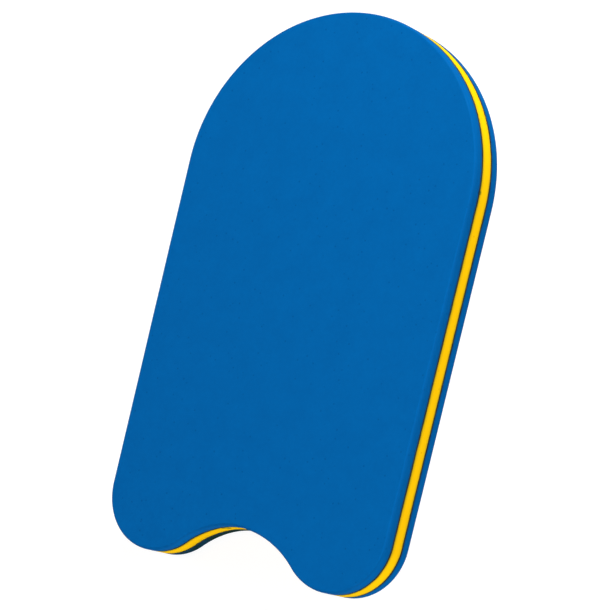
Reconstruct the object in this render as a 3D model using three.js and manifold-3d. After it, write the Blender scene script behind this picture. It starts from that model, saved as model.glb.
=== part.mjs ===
// A swimmer's kickboard float: three sheets of closed-cell foam, bonded face to face, cut together to
// one outline, then rounded over along the front and back rims. It has no moving parts.
// Millimetres, +Z up. The board lies on its back face, with its nose towards +Y and its tail towards -Y.
// The origin is under the middle of the board's box, on the surface that it lies on.
import * as THREE from 'three'
import { mergeVertices } from 'three/addons/utils/BufferGeometryUtils.js'
import Module from 'manifold-3d'

// Outline
const BOARD_LENGTH = 482.6
const BOARD_WIDTH = 290 // where the round nose meets the sides
const TAIL_WIDTH = 284 // across the two tail lobes
const LOBE_RADIUS = 50.3
const CUTOUT_DEPTH = 35.4 // of the arch between the lobes

// Thickness, built up from the back face
const OUTER_THICKNESS = 11.8 // of the front and back sheets
const CORE_THICKNESS = 13.9
const BOND_THICKNESS = 0.3
const RIM_RADIUS = 2.6 // the rounding of the front and back rims

// Faceting
const ARC_DIVISIONS = 18
const RIM_STEPS = 5

const FOAM_BLUE = 0x0263a6
const FOAM_YELLOW = 0xfcc805
const BOND_DARK = 0x32332a

const BOARD_THICKNESS = 2 * OUTER_THICKNESS + CORE_THICKNESS + 2 * BOND_THICKNESS

const wasm = await Module()
wasm.setup()

// The circles that the outline wraps, counterclockwise. The cut-out's radius is negative, because the
// outline passes it on the inside, and it is the radius at which the arch touches both lobes.
function outlineCircles() {
  const noseRadius = BOARD_WIDTH / 2
  const lobeX = TAIL_WIDTH / 2 - LOBE_RADIUS
  const lobeY = LOBE_RADIUS - BOARD_LENGTH / 2
  const archRise = LOBE_RADIUS - CUTOUT_DEPTH // from the top of the arch up to the lobes' centres
  const archRadius = (lobeX ** 2 + archRise ** 2 - LOBE_RADIUS ** 2) / (2 * CUTOUT_DEPTH)
  return [
    { x: 0, y: BOARD_LENGTH / 2 - noseRadius, r: noseRadius },
    { x: -lobeX, y: lobeY, r: LOBE_RADIUS },
    { x: 0, y: lobeY - archRise - archRadius, r: -archRadius },
    { x: lobeX, y: lobeY, r: LOBE_RADIUS },
  ]
}

// The direction, as an angle, of the outward normal of the straight line that joins circle a to circle b
function tangentNormal(a, b) {
  const dx = b.x - a.x
  const dy = b.y - a.y
  const lean = THREE.MathUtils.clamp((a.r - b.r) / Math.hypot(dx, dy), -1, 1)
  return Math.atan2(dy, dx) - Math.acos(lean)
}

// An arc on each circle, joined to the next by their common tangent
function boardOutline() {
  const shape = new THREE.Shape()
  const circles = outlineCircles()
  circles.forEach((circle, i) => {
    const before = circles[(i + circles.length - 1) % circles.length]
    const after = circles[(i + 1) % circles.length]
    const start = tangentNormal(before, circle)
    const end = tangentNormal(circle, after)
    if (circle.r > 0) {
      shape.absarc(circle.x, circle.y, circle.r, start, end, false)
    } else {
      shape.absarc(circle.x, circle.y, -circle.r, start + Math.PI, end + Math.PI, true)
    }
  })
  return shape
}

// The whole board as one solid, before it is parted into its sheets
function boardBlank() {
  const geometry = new THREE.ExtrudeGeometry(boardOutline(), {
    depth: BOARD_THICKNESS - 2 * RIM_RADIUS,
    curveSegments: ARC_DIVISIONS,
    steps: 1,
    bevelEnabled: true,
    bevelThickness: RIM_RADIUS,
    bevelSize: RIM_RADIUS,
    bevelOffset: -RIM_RADIUS,
    bevelSegments: RIM_STEPS,
  })
  return geometry.translate(0, 0, RIM_RADIUS)
}

// A slab between two heights, wider than the board
function slab(bottom, top) {
  const geometry = new THREE.BoxGeometry(2 * BOARD_WIDTH, 2 * BOARD_LENGTH, top - bottom)
  return geometry.translate(0, 0, (bottom + top) / 2)
}

function toSolid(geometry) {
  geometry.deleteAttribute('normal')
  geometry.deleteAttribute('uv')
  const merged = mergeVertices(geometry)
  const vertProperties = new Float32Array(merged.attributes.position.array)
  const triVerts = new Uint32Array(merged.index.array)
  return new wasm.Manifold(new wasm.Mesh({ numProp: 3, vertProperties, triVerts }))
}

function toGeometry(solid) {
  const { vertProperties, triVerts } = solid.getMesh()
  const geometry = new THREE.BufferGeometry()
  geometry.setAttribute('position', new THREE.BufferAttribute(vertProperties, 3))
  geometry.setIndex(new THREE.BufferAttribute(triVerts, 1))
  geometry.computeVertexNormals()
  return geometry
}

// The laminate from the back face up. Each entry is one flat piece of it.
const LAMINATE = [
  { name: 'back_foam_sheet', thickness: OUTER_THICKNESS, color: FOAM_BLUE, roughness: 0.75 },
  { name: 'back_bond_film', thickness: BOND_THICKNESS, color: BOND_DARK, roughness: 0.5 },
  { name: 'core_foam_sheet', thickness: CORE_THICKNESS, color: FOAM_YELLOW, roughness: 0.8 },
  { name: 'front_bond_film', thickness: BOND_THICKNESS, color: BOND_DARK, roughness: 0.5 },
  { name: 'front_foam_sheet', thickness: OUTER_THICKNESS, color: FOAM_BLUE, roughness: 0.75 },
]

const kickboard = new THREE.Group()
const blank = toSolid(boardBlank())
let height = 0
for (const { name, thickness, color, roughness } of LAMINATE) {
  const piece = blank.intersect(toSolid(slab(height, height + thickness)))
  const material = new THREE.MeshStandardMaterial({ color, roughness, metalness: 0 })
  const mesh = new THREE.Mesh(toGeometry(piece), material)
  mesh.name = name
  kickboard.add(mesh)
  height += thickness
}

export default kickboard
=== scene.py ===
"""The looks of a laminated foam kickboard: three foam sheets, the two bond lines between them, a
pale floor, soft light and the camera. Metres, in the frame of the CAD part: +Z out of the front
face, +Y towards the nose.
"""
import math

import bpy
import numpy as np
from mathutils import Matrix, Vector, noise
from mathutils.geometry import delaunay_2d_cdt


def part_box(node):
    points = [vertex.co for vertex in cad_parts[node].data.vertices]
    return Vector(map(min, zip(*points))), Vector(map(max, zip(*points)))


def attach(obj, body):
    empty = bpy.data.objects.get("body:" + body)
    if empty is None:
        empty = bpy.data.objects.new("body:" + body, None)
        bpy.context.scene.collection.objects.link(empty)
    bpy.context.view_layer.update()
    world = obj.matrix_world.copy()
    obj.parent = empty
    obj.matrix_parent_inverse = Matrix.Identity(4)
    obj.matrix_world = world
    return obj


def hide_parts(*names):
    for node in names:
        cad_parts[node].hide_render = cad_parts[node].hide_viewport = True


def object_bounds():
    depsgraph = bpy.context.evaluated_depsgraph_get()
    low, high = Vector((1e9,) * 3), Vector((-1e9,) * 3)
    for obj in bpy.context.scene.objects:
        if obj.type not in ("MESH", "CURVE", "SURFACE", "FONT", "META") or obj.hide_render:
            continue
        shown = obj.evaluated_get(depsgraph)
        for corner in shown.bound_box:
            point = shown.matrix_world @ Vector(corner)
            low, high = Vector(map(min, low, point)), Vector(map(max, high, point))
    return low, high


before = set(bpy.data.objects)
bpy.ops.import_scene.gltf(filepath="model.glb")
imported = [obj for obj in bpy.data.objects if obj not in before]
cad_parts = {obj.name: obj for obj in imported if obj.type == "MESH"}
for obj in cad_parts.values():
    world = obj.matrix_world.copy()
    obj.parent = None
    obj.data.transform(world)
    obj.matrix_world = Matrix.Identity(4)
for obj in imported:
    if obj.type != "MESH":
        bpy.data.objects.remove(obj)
cad_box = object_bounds()

MM = 0.001
UP = math.pi / 2  # the tilt of a face's outward direction, where a wall's is 0

# The board's outline, beyond its length and width, which come from the frame
TAIL_WIDTH = 284 * MM
LOBE_RADIUS = 50.3 * MM
CUTOUT_DEPTH = 35.4 * MM

# How the tail, which was cut by hand, strays from that outline
LEFT_LOBE_EXTRA = 1.7 * MM  # how much longer the left lobe is, measured at the board's side
ARCH_SHIFT = 1.4 * MM  # how far the cut-out lies left of the middle
ARCH_REACH = 75 * MM  # how far from the middle that shift reaches
ARCH_DEEPER = (0.9 * MM, -13 * MM, 22 * MM)  # a place cut too deep, as (depth, middle, reach)

# Edges
RIM_RADIUS = 2.0 * MM  # the rounded rims of the front and back faces, measured across the face
RIM_DROP = 1.75  # how many times further a rim reaches down the wall
OUTER_SEAM_RADIUS = 1.9 * MM  # the soft corner of a blue sheet along its bond line
CORE_SEAM_RADIUS = 0.6 * MM  # the same of the core, which was cut more crisply
RADIUS_DRIFT = 0.05  # share by which a corner's radius wanders
RADIUS_WAVELENGTH = 45 * MM

# Bond lines
BOND_RECESS = 0.12 * MM  # how far a bond line lies inside the sheets' edges
BOND_WAVER = (0.1 * MM, 9 * MM)  # how unevenly it was squeezed out, as (height, wavelength)
BOND_GAP = 0.01 * MM  # keeps it from sharing a surface with the sheets
BOND_ROWS = (0.0, 0.25, 0.55, 1.0)  # its section's points, as shares of the way in from its edge
BOND_BEAD = 0.08 * MM  # how far its edge bulges

# Surface relief, as (height, wavelength)
FACE_RELIEF = ((0.14 * MM, 95 * MM), (0.05 * MM, 26 * MM), (0.015 * MM, 8 * MM))
WALL_RELIEF = ((0.05 * MM, 14 * MM), (0.03 * MM, 4.5 * MM))
CUT_WAVER = (0.16 * MM, 60 * MM)  # of the whole outline, the same in every sheet
CUT_SEED = 1
SEED_SHIFT = (17.3, 5.9, 11.1)  # how many hills apart the relief of two seeds lies

# Small dirty dents in the walls, as (place, radius, depth)
NICKS = (
    (Vector((144.8 * MM, 104.8 * MM, 25.4 * MM)), 1.8 * MM, 0.9 * MM),
    (Vector((-26.5 * MM, -209.3 * MM, 23.2 * MM)), 2.3 * MM, 1.0 * MM),
    (Vector((-24.2 * MM, -208.6 * MM, 20.2 * MM)), 2.0 * MM, 0.7 * MM),
)

# Grime and painted shade, as shares of fully dark
NICK_DIRT = 2  # at a nick's middle, clipped to 1, which widens the dirty spot
BOND_SHADE_REACH = 1.3 * MM  # how far the painted shade beside a bond line reaches
CUTOUT_SHADOW = 0.98  # painted shadow on the back sheet's wall inside the cut-out
CUTOUT_SHADOW_REACH = 92 * MM

# Mesh density
OUTLINE_STEP = 1.0 * MM
WALL_STEP = 1.2 * MM
RIM_STEPS = 8
OUTER_SEAM_STEPS = 5
CORE_SEAM_STEPS = 3
FACE_STEP = 4.0 * MM
HIDDEN_STEP = 14.0 * MM  # of the surfaces between the sheets
FACE_MARGINS = (0.7 * MM, 1.7 * MM, 3.3 * MM)  # rings between a rounded rim and the face's grid
GRID_CLEARANCE = 0.6  # how far a grid stays inside its ring, in grid steps
INSIDE_ONLY = 1  # makes the triangulation leave out what lies outside the ring
TOLERANCE = 1e-9

# Foam colours, linear: the two that it wanders between, its pits and the painted shade on its rims,
# its painted shade beside the bond lines and inside the cut-out, which also colours the grime in
# its nicks
BLUE = ((0.0004, 0.0908, 0.3, 1), (0.0004, 0.1058, 0.342, 1))
BLUE_DARK = (0.0003, 0.06, 0.2, 1)
BLUE_SHADE_AND_GRIME = (0.006, 0.025, 0.022, 1)
YELLOW = ((0.94, 0.52, 0.0018, 1), (0.97, 0.57, 0.002, 1))
YELLOW_DARK = (0.7, 0.3, 0.002, 1)
YELLOW_SHADE_AND_GRIME = (0.16, 0.17, 0.012, 1)

# Foam texture, with scales in hills or cells per metre
CLOUDS = {"Scale": 50, "Detail": 4, "Roughness": 0.6}
MOTTLE = {"Scale": 330, "Detail": 3}
NOISE_RANGE = (0.3, 0.7)  # where most of a noise's values lie
HALF_BLEND = (0.0, 0.5)  # what clouds and mottle each add to the blend of the two colours
CELL_SCALE = 1500
PIT_SCALE = 130
PIT_EDGE = (0.06, 0.15)  # where a pit starts and stops fading out
PIT_DARKNESS = 0.6
RIM_SHADE = (3.0, 4.0)  # painted shade on the rounded corners, which dims the rims' highlight, as (power that draws it towards the face, strength)
SHADE_AND_GRIME_COVER = 0.85  # of the darkest places of painted shade and grime, before the clouds add to it
FOAM_ROUGHNESS = (0.52, 0.68)
CELL_BUMP = ((0.9, 0.35), 0.06 * MM)  # as ((strength on the walls, on the faces), height)
PIT_BUMP = (0.5, 0.1 * MM)  # as (strength, height)

# Bond line
BOND_COLOURS = ((0.006, 0.009, 0.008, 1), (0.03, 0.03, 0.02, 1))
BOND_BLOTCHES = {"Scale": 160, "Detail": 3}
BOND_BUMP = (0.4, 0.05 * MM)

# Floor: it glows enough to look white, and most of all away from the board
FLOOR_COLOURS = ((0.3, 0.3, 0.3, 1), (0.32, 0.32, 0.32, 1))
FLOOR_BLOTCHES = {"Scale": 3, "Detail": 2}
FLOOR_GLOW = ((1.5, 3.0), (0.83, 1.0))  # as (distances from the middle, glow there)

# The floor's sweep, as (radius, height): flat, then curving up into a wall all round
SWEEP = ((3.0, 0.0), (7.0, 0.0), (8.6, 0.25), (9.8, 1.0), (10.6, 2.2), (11.0, 4.0), (11.0, 12.0))
SWEEP_SIDES = 64

# Camera
CAMERA_AIM = Vector((10.56 * MM, -12.58 * MM, 38.1 * MM))
CAMERA_AZIMUTH = math.radians(81.89)
CAMERA_ELEVATION = math.radians(55.17)
CAMERA_ROLL = math.radians(69.82)
CAMERA_DISTANCE = 2.3404
CAMERA_REACH = 50
LENS = 165.3  # in millimetres, as is the sensor
SENSOR_WIDTH = 36

# Light: an even glow all round, and disks that face the board, as (name, place, watts)
SKY_GLOW = 0.12
LAMP_SIZE = 0.7
LAMPS = (
    ("nose", (0.25, 2.0, 1.08), 72),
    ("right", (2.16, 0.58, 0.52), 33),
    ("tail", (0.58, -2.16, 0.52), 36),
    ("high", (1.05, -1.05, 1.76), 11),
    ("left", (-2.1, -0.2, 0.7), 8),
)


# --- Outline -------------------------------------------------------------------------------------

def outline_circles(half_width, half_length):
    """The circles (x, y, radius) that the outline wraps, counterclockwise. The cut-out's radius is
    negative, because the outline passes it on the inside, and its arch touches both lobes."""
    lobe_x = TAIL_WIDTH / 2 - LOBE_RADIUS
    lobe_y = LOBE_RADIUS - half_length
    arch_rise = LOBE_RADIUS - CUTOUT_DEPTH
    arch_radius = (lobe_x**2 + arch_rise**2 - LOBE_RADIUS**2) / (2 * CUTOUT_DEPTH)
    return [
        (0, half_length - half_width, half_width),
        (-lobe_x, lobe_y, LOBE_RADIUS),
        (0, lobe_y - arch_rise - arch_radius, -arch_radius),
        (lobe_x, lobe_y, LOBE_RADIUS),
    ]


def on_circle(circle, angle):
    x, y, radius = circle
    return np.array([x + radius * math.cos(angle), y + radius * math.sin(angle)])


def tangent_normal(a, b):
    """The angle of the outward normal of the straight line that joins circle a to circle b."""
    dx, dy = b[0] - a[0], b[1] - a[1]
    lean = max(-1, min(1, (a[2] - b[2]) / math.hypot(dx, dy)))
    return math.atan2(dy, dx) - math.acos(lean)


def shares(length):
    """Even shares of a stretch, about OUTLINE_STEP apart, without its end."""
    steps = round(length / OUTLINE_STEP)
    return [k / steps for k in range(steps)]


def falloff(distance, reach, power=2):
    """A share that is 1 at no distance and fades out round the reach, the higher the power the
    more abruptly."""
    return np.exp(-((distance / reach) ** power))


def hand_cut(points, half_width, half_length):
    """The outline's points, moved to where the tail was really cut."""
    x, y = points.T
    tailward = np.clip(-y / half_length, 0, 1) ** 2
    longer = LEFT_LOBE_EXTRA * (np.minimum(x, 0) / half_width) ** 2 * tailward
    depth, middle, reach = ARCH_DEEPER
    deeper = depth * falloff(x - middle, reach) * tailward
    aside = ARCH_SHIFT * falloff(x, ARCH_REACH, 4) * tailward
    return np.stack([x - aside, y - longer + deeper], 1)


def board_outline(half_width, half_length):
    """(points, outward normals) round the board, counterclockwise from the nose's right side."""
    circles = outline_circles(half_width, half_length)
    points, angles = [], []
    for i, circle in enumerate(circles):
        after = circles[(i + 1) % len(circles)]
        start, end = tangent_normal(circles[i - 1], circle), tangent_normal(circle, after)
        sweep = (end - start) % math.tau if circle[2] > 0 else -((start - end) % math.tau)
        for t in shares(abs(circle[2] * sweep)):
            points.append(on_circle(circle, start + sweep * t))
            angles.append(start + sweep * t)
        line_start, line_end = on_circle(circle, end), on_circle(after, end)
        for t in shares(np.linalg.norm(line_end - line_start)):
            points.append(line_start + (line_end - line_start) * t)
            angles.append(end)
    points = hand_cut(np.array(points), half_width, half_length)
    return points, np.stack([np.cos(angles), np.sin(angles)], 1)


OUTLINE, NORMALS = board_outline(cad_box[1].x, cad_box[1].y)


# --- Meshes --------------------------------------------------------------------------------------

def ripple(points, wavelength, seed):
    """Smooth noise from -1 to 1 at each point, with about one hill per wavelength."""
    shift = Vector([seed * apart for apart in SEED_SHIFT])
    return np.array([noise.noise(Vector(p) / wavelength + shift) for p in points])


def hills(points, shape, seed):
    """Smooth hills from 0 to a height, for a shape of (height, wavelength)."""
    height, wavelength = shape
    return height * (1 + ripple(points, wavelength, seed)) / 2


def cut_depth(places):
    """How far inside the outline the board was cut at each place."""
    return hills(places * [1, 1, 0], CUT_WAVER, CUT_SEED)


def grid_inside(ring, step):
    """Points of an even triangular grid inside a ring along the outline, kept clear of it."""
    low, high = ring.min(0), ring.max(0)
    rows = np.arange(low[1], high[1], step * math.sqrt(3) / 2)
    grid = np.array([
        (x + step / 2 * (k % 2), y)
        for k, y in enumerate(rows)
        for x in np.arange(low[0], high[0], step)
    ])
    inside = []
    for point in grid:
        away = point - ring
        nearest = np.argmin((away**2).sum(1))
        inside.append(away[nearest] @ NORMALS[nearest] < -GRID_CLEARANCE * step)
    return grid[inside]


def fill(ring, step):
    """(grid points, triangles) that fill a ring. The triangles count the ring's points first."""
    grid = grid_inside(ring, step)
    corners = [Vector(p) for p in np.concatenate([ring, grid])]
    border = list(range(len(ring)))
    made = delaunay_2d_cdt(corners, [], [border], INSIDE_ONLY, TOLERANCE)
    triangles, sources = made[2], made[3]
    return grid, [[sources[i][0] for i in triangle] for triangle in triangles]


def closed_shell(rows, lids):
    """(places, faces) of a closed solid. rows are (inset, height) of the rings of its wall, from
    the bottom up, and lids are (grid step, height) of its bottom and its top. places is a list,
    with an array for each row and then for each lid's grid."""
    count = len(OUTLINE)
    places = [np.c_[OUTLINE - NORMALS * inset[:, None], height] for inset, height in rows]
    faces = []
    for low in range(0, (len(rows) - 1) * count, count):
        high = low + count
        for i in range(count):
            after = (i + 1) % count
            faces.append((low + i, low + after, high + after, high + i))
    for (step, height), row, side in zip(lids, (0, len(rows) - 1), (-1, 1)):
        grid, triangles = fill(places[row][:, :2], step)
        base = sum(len(p) for p in places)
        places.append(np.c_[grid, np.full(len(grid), height)])
        for triangle in triangles:
            corners = [row * count + i if i < count else base + i - count for i in triangle]
            faces.append(tuple(corners[::side]))
    return places, faces


class Edge:
    """How a sheet's wall turns into one of its faces: a rounded corner, then margin rings."""

    def __init__(self, radius, drop, steps, margins, face_step):
        self.radius = radius  # of the corner, measured across the face
        self.drop = drop  # the corner's height over that radius
        self.steps = steps  # of the corner
        self.margins = margins  # how far past the corner each ring lies
        self.face_step = face_step  # of the face's grid

    def rows(self, drift):
        """Rows of (inset, depth below the face, tilt) from the wall to the face. drift is how many
        times larger the corner is at each point of the outline."""
        radius = self.radius * drift
        rows = []
        for k in range(self.steps + 1):
            tilt = UP * k / self.steps
            inset = radius * (1 - math.cos(tilt))
            rows.append((inset, self.drop * radius * (1 - math.sin(tilt)), tilt))
        for margin in self.margins:
            rows.append((radius + margin, 0 * radius, UP))
        return rows


RIM = Edge(RIM_RADIUS, RIM_DROP, RIM_STEPS, FACE_MARGINS, FACE_STEP)
OUTER_SEAM = Edge(OUTER_SEAM_RADIUS, 1, OUTER_SEAM_STEPS, (), HIDDEN_STEP)
CORE_SEAM = Edge(CORE_SEAM_RADIUS, 1, CORE_SEAM_STEPS, (), HIDDEN_STEP)


def sheet_shape(bottom, top, bottom_edge, top_edge, seed):
    """(places, outward directions, faces) of one sheet, before its surface relief."""
    count = len(OUTLINE)
    wander = ripple(np.c_[OUTLINE, np.zeros(count)], RADIUS_WAVELENGTH, seed)
    drift = 1 + RADIUS_DRIFT * wander
    low_rows = [(inset, bottom + depth, -tilt) for inset, depth, tilt in bottom_edge.rows(drift)]
    high_rows = [(inset, top - depth, tilt) for inset, depth, tilt in top_edge.rows(drift)]

    corners_high = sum(edge.drop * edge.radius for edge in (bottom_edge, top_edge))
    wall_steps = round((top - bottom - corners_high) / WALL_STEP)
    wall_low, wall_high = low_rows[0][1], high_rows[0][1]
    wall_rows = [
        (0 * drift, wall_low + (wall_high - wall_low) * k / wall_steps, 0.0)
        for k in range(1, wall_steps)
    ]
    rows = low_rows[::-1] + wall_rows + high_rows

    lids = ((bottom_edge.face_step, bottom), (top_edge.face_step, top))
    places, faces = closed_shell([(inset, height) for inset, height, _ in rows], lids)
    directions = [
        np.c_[NORMALS * math.cos(tilt), np.full(count, math.sin(tilt))] for _, _, tilt in rows
    ]
    for lid, side in zip(places[-2:], (-1, 1)):
        directions.append(np.tile([0.0, 0.0, side], (len(lid), 1)))
    return np.concatenate(places), np.concatenate(directions), faces


def new_object(name, places, faces, material, attributes=()):
    mesh = bpy.data.meshes.new(name)
    mesh.from_pydata(places.tolist(), [], faces)
    mesh.shade_smooth()
    for attribute, values in attributes:
        data = mesh.attributes.new(attribute, "FLOAT", "POINT").data
        data.foreach_set("value", values.astype(np.float32))
    mesh.materials.append(material)
    made = bpy.data.objects.new(name, mesh)
    bpy.context.scene.collection.objects.link(made)
    return made


def nick_shares(places):
    """(how far each place lies inside a dent, from 0 to 1, and the dent's depth), for each dent."""
    return [
        (falloff(np.linalg.norm(places - middle, axis=1), radius), dent)
        for middle, radius, dent in NICKS
    ]


def relief(places, directions, seed):
    """How far each place lies below the sheet's ideal surface."""
    faceward = np.abs(directions[:, 2])
    depth = np.zeros(len(places))
    for shape in FACE_RELIEF:
        depth += faceward * hills(places, shape, seed)
    for shape in WALL_RELIEF:
        depth += (1 - faceward) * hills(places, shape, seed + 1)
    depth += (1 - faceward) * cut_depth(places)
    for share, dent in nick_shares(places):
        depth += dent * share
    return depth


def foam_sheet(node, bottom_edge, top_edge, material, seed, painted_cutout_shadow=False):
    """The finely meshed sheet that stands for a CAD node. Its points carry skin, which is 0 on the
    walls and 1 on the faces, and a share that is 1 where the foam is darkest: painted shade beside
    the bond lines and inside the cut-out, and grime in the nicks."""
    low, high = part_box(node)
    places, directions, faces = sheet_shape(low.z, high.z, bottom_edge, top_edge, seed)
    skin = np.abs(directions[:, 2])
    bonded = np.zeros(len(places), bool)
    shade_and_grime = np.zeros(len(places))
    # Painted shade on the sheet beside each bond line, darkest at the bond
    for edge, height in ((bottom_edge, low.z), (top_edge, high.z)):
        if edge is not RIM:
            away = np.abs(places[:, 2] - height)
            bonded |= away == 0
            shade_and_grime = np.maximum(shade_and_grime, falloff(away, BOND_SHADE_REACH, 1))
    for share, _ in nick_shares(places):
        shade_and_grime = np.maximum(shade_and_grime, np.minimum(1, NICK_DIRT * share))
    # Painted shadow on the back sheet's wall inside the cut-out
    if painted_cutout_shadow:
        in_cutout = falloff(places[:, 0], CUTOUT_SHADOW_REACH, 6) * (places[:, 1] < 0)
        shade_and_grime = np.maximum(shade_and_grime, CUTOUT_SHADOW * in_cutout * (1 - skin))
    depth = np.where(bonded, 0, relief(places, directions, seed))
    sheet = new_object(
        node.replace("_sheet", ""), places - directions * depth[:, None], faces, material,
        [("skin", skin), ("shade_and_grime", shade_and_grime)],
    )
    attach(sheet, "root")
    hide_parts(node)
    return sheet


def bond_line(node, below_core, material, seed):
    """The bond between two sheets: a thin film whose edge, squeezed out a little, fills most of the
    hollow between their soft corners."""
    low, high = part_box(node)
    middle, half_film = (low.z + high.z) / 2, (high.z - low.z) / 2 - BOND_GAP
    flat = np.c_[OUTLINE, np.full(len(OUTLINE), middle)]
    height, wavelength = BOND_WAVER
    recess = BOND_RECESS + height * ripple(flat, wavelength, seed)
    cut = cut_depth(flat)

    def side_rows(radius):
        """(inset, rise above the film's middle), from its edge in to where the sheets are flat."""
        rows = []
        for share in BOND_ROWS:
            inset = recess + (radius - recess) * share
            rise = radius - np.sqrt(radius**2 - (radius - inset) ** 2)
            rows.append((inset, half_film + rise))
        return rows

    outer, core = side_rows(OUTER_SEAM_RADIUS), side_rows(CORE_SEAM_RADIUS)
    under, over = (outer, core) if below_core else (core, outer)
    bead = (recess - BOND_BEAD, (over[0][1] - under[0][1]) / 2)
    section = [(inset, -rise) for inset, rise in under[::-1]] + [bead] + over

    rows = [(inset + cut, middle + rise) for inset, rise in section]
    lids = ((HIDDEN_STEP, middle - half_film), (HIDDEN_STEP, middle + half_film))
    places, faces = closed_shell(rows, lids)
    film = new_object(node.replace("_film", "_line"), np.concatenate(places), faces, material)
    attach(film, "root")
    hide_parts(node)
    return film


# --- Materials -----------------------------------------------------------------------------------

class Material:
    """A material whose shader is fed by nodes. settings are constants on the shader's sockets."""

    def __init__(self, name, **settings):
        self.made = bpy.data.materials.new(name)
        self.made.use_nodes = True
        self.tree = self.made.node_tree
        self.shader = self.tree.nodes["Principled BSDF"]
        for socket, value in settings.items():
            self.shader.inputs[socket.replace("_", " ")].default_value = value

    def node(self, kind, inputs=(), **properties):
        """Adds a node and sets its inputs, each to a constant or to another node's output."""
        made = self.tree.nodes.new(kind)
        for key, value in properties.items():
            setattr(made, key, value)
        for key, value in dict(inputs).items():
            if isinstance(value, bpy.types.NodeSocket):
                self.tree.links.new(value, made.inputs[key])
            else:
                made.inputs[key].default_value = value
        return made

    def wire(self, output, socket):
        self.tree.links.new(output, self.shader.inputs[socket])

    def place(self):
        return self.node("ShaderNodeTexCoord").outputs["Object"]

    def attribute(self, name):
        return self.node("ShaderNodeAttribute", attribute_name=name).outputs["Fac"]

    def noise(self, place, settings):
        return self.node("ShaderNodeTexNoise", {"Vector": place, **settings}).outputs["Fac"]

    def cells(self, place, scale):
        """How far a place lies from the middle of its cell."""
        inputs = {"Vector": place, "Scale": scale}
        return self.node("ShaderNodeTexVoronoi", inputs).outputs["Distance"]

    def remap(self, value, source, target):
        """A value moved from one range to another, and kept inside it."""
        inputs = {
            "Value": value, "From Min": source[0], "From Max": source[1],
            "To Min": target[0], "To Max": target[1],
        }
        return self.node("ShaderNodeMapRange", inputs).outputs[0]

    def maths(self, operation, *values, **properties):
        inputs = dict(enumerate(values))
        return self.node("ShaderNodeMath", inputs, operation=operation, **properties).outputs[0]

    def mix(self, share, first, second):
        inputs = {"Factor": share, 6: first, 7: second}
        return self.node("ShaderNodeMix", inputs, data_type="RGBA").outputs[2]

    def bump(self, strength, distance, height, under=None, **properties):
        """Hills up to distance high, on top of another bump where under is given."""
        inputs = {"Strength": strength, "Distance": distance, "Height": height}
        if under is not None:
            inputs["Normal"] = under
        return self.node("ShaderNodeBump", inputs, **properties).outputs[0]


def foam_material(name, colours, dark, shade_and_grime_colour, seed):
    """Closed-cell foam: a fine-celled skin on the faces, slightly coarser cut cells on the walls,
    dark pits, painted shade on the rounded corners that dims the rims' highlight, painted shade
    beside the bond lines and inside the cut-out, and grime in the nicks."""
    foam = Material(name, Specular_IOR_Level=0.015, Sheen_Weight=0.02, Sheen_Roughness=0.25)
    shifted = {0: foam.place(), 1: (seed, seed / 2, seed / 3)}
    place = foam.node("ShaderNodeVectorMath", shifted, operation="ADD").outputs[0]
    skin = foam.attribute("skin")
    shade_and_grime = foam.attribute("shade_and_grime")
    mottle = foam.noise(place, MOTTLE)

    tone = foam.remap(foam.noise(place, CLOUDS), NOISE_RANGE, HALF_BLEND)
    grain = foam.remap(mottle, NOISE_RANGE, HALF_BLEND)
    clean = foam.mix(foam.maths("ADD", tone, grain), *colours)
    speck = foam.remap(foam.cells(place, PIT_SCALE), PIT_EDGE, (PIT_DARKNESS, 0.0))
    specked = foam.mix(speck, clean, dark)

    # Painted shade on the rounded corners, darkest near the face, which dims the rims' highlight
    power, strength = RIM_SHADE
    high_rim = foam.maths("POWER", skin, power)
    rim = foam.maths("MULTIPLY", high_rim, foam.maths("SUBTRACT", 1.0, skin))
    rim_shaded = foam.mix(foam.maths("MULTIPLY", rim, strength), specked, dark)
    # Painted shade beside the bond lines and inside the cut-out, and grime in the nicks, broken up
    # by the clouds
    cloudy = foam.maths("MULTIPLY", shade_and_grime, tone)
    shade_and_grime_share = foam.maths("MULTIPLY_ADD", shade_and_grime, SHADE_AND_GRIME_COVER, cloudy, use_clamp=True)
    foam.wire(foam.mix(shade_and_grime_share, rim_shaded, shade_and_grime_colour), "Base Color")

    foam.wire(foam.remap(mottle, NOISE_RANGE, FOAM_ROUGHNESS), "Roughness")

    strengths, height = CELL_BUMP
    cell_strength = foam.remap(skin, (0.0, 1.0), strengths)
    cells = foam.bump(cell_strength, height, foam.cells(place, CELL_SCALE))
    foam.wire(foam.bump(*PIT_BUMP, speck, under=cells, invert=True), "Normal")
    return foam.made


def bond_material():
    bond = Material("bond_line", Roughness=0.5, Specular_IOR_Level=0.1)
    blotches = bond.noise(bond.place(), BOND_BLOTCHES)
    bond.wire(bond.mix(blotches, *BOND_COLOURS), "Base Color")
    bond.wire(bond.bump(*BOND_BUMP, blotches), "Normal")
    return bond.made


def floor_material():
    white = (1, 1, 1, 1)
    floor = Material("pale_floor", Roughness=0.9, Specular_IOR_Level=0.0, Emission_Color=white)
    place = floor.place()
    blotches = floor.noise(place, FLOOR_BLOTCHES)
    floor.wire(floor.mix(blotches, *FLOOR_COLOURS), "Base Color")
    distance = floor.node("ShaderNodeVectorMath", {0: place}, operation="LENGTH").outputs["Value"]
    floor.wire(floor.remap(distance, *FLOOR_GLOW), "Emission Strength")
    return floor.made


# --- Camera, light and floor ---------------------------------------------------------------------

def facing(direction, roll=0.0):
    """The turn of a camera or light that looks along direction, its top leaning right by roll."""
    ahead = direction.normalized()
    level = ahead.cross(Vector((0, 0, 1))).normalized()
    rise = level.cross(ahead)
    right = level * math.cos(roll) - rise * math.sin(roll)
    top = rise * math.cos(roll) + level * math.sin(roll)
    return Matrix((right, top, -ahead)).transposed().to_4x4()


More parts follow.
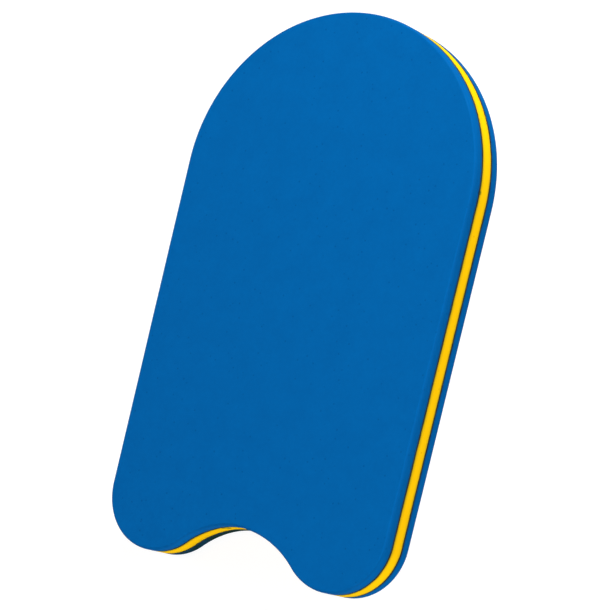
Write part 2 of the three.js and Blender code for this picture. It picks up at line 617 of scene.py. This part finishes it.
def place_camera():
    data = bpy.data.cameras.new("camera")
    data.lens = LENS
    data.sensor_width = SENSOR_WIDTH
    data.clip_end = CAMERA_REACH
    camera = bpy.data.objects.new("camera", data)
    bpy.context.scene.collection.objects.link(camera)
    back = Vector((
        math.sin(CAMERA_AZIMUTH) * math.cos(CAMERA_ELEVATION),
        -math.cos(CAMERA_AZIMUTH) * math.cos(CAMERA_ELEVATION),
        math.sin(CAMERA_ELEVATION),
    ))
    stand = Matrix.Translation(CAMERA_AIM + back * CAMERA_DISTANCE)
    camera.matrix_world = stand @ facing(-back, CAMERA_ROLL)
    bpy.context.scene.camera = camera


def light_studio():
    world = bpy.data.worlds.new("studio")
    world.use_nodes = True
    sky = world.node_tree.nodes["Background"]
    sky.inputs["Color"].default_value = (1, 1, 1, 1)
    sky.inputs["Strength"].default_value = SKY_GLOW
    bpy.context.scene.world = world
    for name, place, power in LAMPS:
        data = bpy.data.lights.new(name, "AREA")
        data.shape = "DISK"
        data.size = LAMP_SIZE
        data.energy = power
        lamp = bpy.data.objects.new(name, data)
        bpy.context.scene.collection.objects.link(lamp)
        lamp.matrix_world = Matrix.Translation(place) @ facing(-Vector(place))
    bpy.context.scene.view_settings.view_transform = "Standard"


def lay_floor():
    """It shows to the camera and takes the board's shadow, but throws no light on the walls."""
    places, faces = [(0, 0, 0)], []
    for radius, height in SWEEP:
        for k in range(SWEEP_SIDES):
            turn = math.tau * k / SWEEP_SIDES
            places.append((radius * math.cos(turn), radius * math.sin(turn), height))
    for k in range(SWEEP_SIDES):
        after = (k + 1) % SWEEP_SIDES
        faces.append((0, 1 + k, 1 + after))
        for row in range(len(SWEEP) - 1):
            low, high = 1 + row * SWEEP_SIDES, 1 + (row + 1) * SWEEP_SIDES
            faces.append((low + k, high + k, high + after, low + after))
    floor = new_object("floor", np.array(places), faces, floor_material())
    floor.visible_diffuse = floor.visible_glossy = floor.visible_shadow = False


# --- The scene -----------------------------------------------------------------------------------

place_camera()
light_studio()
lay_floor()

blue = foam_material("blue_foam", BLUE, BLUE_DARK, BLUE_SHADE_AND_GRIME, 3.0)
yellow = foam_material("yellow_foam", YELLOW, YELLOW_DARK, YELLOW_SHADE_AND_GRIME, 8.0)
bond = bond_material()

# The back sheet carries the painted shadow inside the cut-out
back = foam_sheet("back_foam_sheet", RIM, OUTER_SEAM, blue, 2, painted_cutout_shadow=True)
core = foam_sheet("core_foam_sheet", CORE_SEAM, CORE_SEAM, yellow, 4)
front = foam_sheet("front_foam_sheet", OUTER_SEAM, RIM, blue, 6)

for node, below_core, seed in (("back_bond_film", True, 3), ("front_bond_film", False, 5)):
    bond_line(node, below_core, bond, seed)
